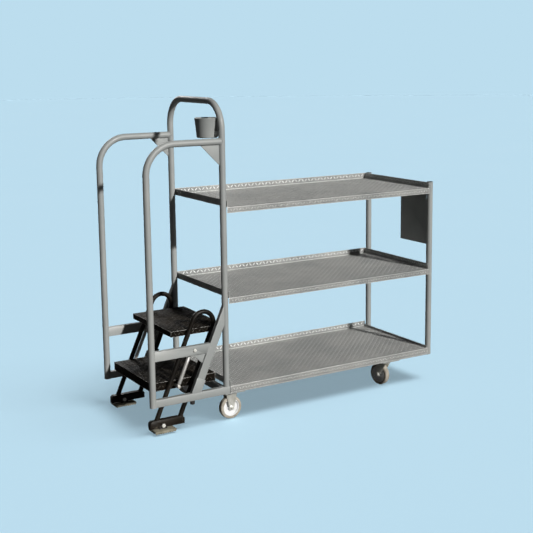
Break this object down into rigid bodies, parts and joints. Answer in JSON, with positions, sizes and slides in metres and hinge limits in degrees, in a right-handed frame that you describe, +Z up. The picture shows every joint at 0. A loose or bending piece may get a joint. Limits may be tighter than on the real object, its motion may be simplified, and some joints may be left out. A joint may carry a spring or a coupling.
{
  "type": "order picking trolley with step unit",
  "caption": "Tubular steel order-picking trolley with tread-plate shelves, a push hoop, handrails, castors and a built-in spring-lifted black step unit at one end.",
  "frame": {"origin": "on the floor, under the middle of the trolley's box", "axes": "+X along the shelves away from the steps, +Y to the far side, +Z up"},
  "size_m": [1.834, 0.637, 1.719],
  "materials": {
    "frame_paint": "semi-gloss grey powder coat",
    "tread_plate": "dull mill-finish tread plate",
    "step_black": "satin black powder coat, scuffed",
    "zinc": "bright zinc plate",
    "pad_rubber": "matt brown-grey rubber",
    "black_rubber": "matt",
    "black_plastic": "matt",
    "slide_plastic": "matt",
    "grey_tyre": "matt non-marking rubber",
    "light_wheel": "satin",
    "spring_silver": "satin zinc",
    "polished_rod": "polished"
  },
  "bodies": {
    "trolley": {"base_buffers": "black_rubber", "base_rail_far": "frame_paint", "base_rail_near": "frame_paint", "castor_bolts": "zinc", "castor_mount_plates": "frame_paint", "cross_member_left": "frame_paint", "cross_members": "frame_paint", "cup_holder": "frame_paint", "cup_strap": "frame_paint", "deck_bottom": "tread_plate", "deck_middle": "tread_plate", "deck_top": "tread_plate", "document_holder": "frame_paint", "fixed_axles": "zinc", "fixed_forks": "zinc", "guide_far": "frame_paint", "guide_feet": "frame_paint", "guide_near": "frame_paint", "handrail_far": "frame_paint", "handrail_gussets": "frame_paint", "handrail_near": "frame_paint", "lip_screws": "zinc", "post_caps": "black_plastic", "push_hoop": "frame_paint", "right_post_far": "frame_paint", "right_post_near": "frame_paint", "spring_brackets": "frame_paint", "spring_rods": "polished_rod", "spring_upper_bolts": "zinc", "step_bar_far": "frame_paint", "step_bar_near": "frame_paint", "swivel_plates": "zinc"},
    "step_unit": {"side_hoop_near": "step_black", "side_hoop_far": "step_black", "foot_bar_near": "step_black", "foot_bar_far": "step_black", "upper_tread": "step_black", "lower_tread": "step_black", "slide_plates": "step_black", "slide_blocks": "slide_plastic", "spring_cylinder_near": "spring_silver", "spring_cylinder_far": "spring_silver", "spring_lower_bolts": "zinc", "pivot_bolts": "zinc"},
    "foot_pad_near": {"pad_shoe_near": "step_black", "pad_rubber_near": "pad_rubber"},
    "foot_pad_far": {"pad_shoe_far": "step_black", "pad_rubber_far": "pad_rubber"},
    "left_wheel_near": {"wheel_left_near": "light_wheel", "tyre_left_near": "grey_tyre"},
    "left_wheel_far": {"wheel_left_far": "light_wheel", "tyre_left_far": "grey_tyre"},
    "swivel_near": {"swivel_fork_near": "zinc", "swivel_axle_near": "zinc"},
    "right_wheel_near": {"wheel_right_near": "light_wheel", "tyre_right_near": "grey_tyre"},
    "swivel_far": {"swivel_fork_far": "zinc", "swivel_axle_far": "zinc"},
    "right_wheel_far": {"wheel_right_far": "light_wheel", "tyre_right_far": "grey_tyre"}
  },
  "joints": [
    {"name": "step_slide", "type": "slide", "parent": "trolley", "child": "step_unit", "axis": [-0.4067, 0, -0.9135], "range_m": [0, 0.0105], "stiffness_N_per_m": 1500, "springref_m": -0.2},
    {"name": "foot_pad_tilt_near", "type": "hinge", "parent": "step_unit", "child": "foot_pad_near", "pos_m": [-0.832, -0.253, 0.044], "axis": [0, 1, 0], "range_deg": [-6, 6]},
    {"name": "foot_pad_tilt_far", "type": "hinge", "parent": "step_unit", "child": "foot_pad_far", "pos_m": [-0.832, 0.253, 0.044], "axis": [0, 1, 0], "range_deg": [-6, 6]},
    {"name": "left_wheel_spin_near", "type": "hinge", "parent": "trolley", "child": "left_wheel_near", "pos_m": [-0.425, -0.25, 0.0625], "axis": [0, 1, 0], "continuous": true},
    {"name": "left_wheel_spin_far", "type": "hinge", "parent": "trolley", "child": "left_wheel_far", "pos_m": [-0.425, 0.25, 0.0625], "axis": [0, 1, 0], "continuous": true},
    {"name": "castor_swivel_near", "type": "hinge", "parent": "trolley", "child": "swivel_near", "pos_m": [0.618, -0.25, 0.14], "axis": [0, 0, 1], "continuous": true},
    {"name": "right_wheel_spin_near", "type": "hinge", "parent": "swivel_near", "child": "right_wheel_near", "pos_m": [0.6101, -0.21283, 0.0625], "axis": [0.9781, 0.2079, 0], "continuous": true},
    {"name": "castor_swivel_far", "type": "hinge", "parent": "trolley", "child": "swivel_far", "pos_m": [0.618, 0.25, 0.14], "axis": [0, 0, 1], "continuous": true},
    {"name": "right_wheel_spin_far", "type": "hinge", "parent": "swivel_far", "child": "right_wheel_far", "pos_m": [0.60134, 0.21585, 0.0625], "axis": [-0.8988, 0.4384, 0], "continuous": true}
  ]
}
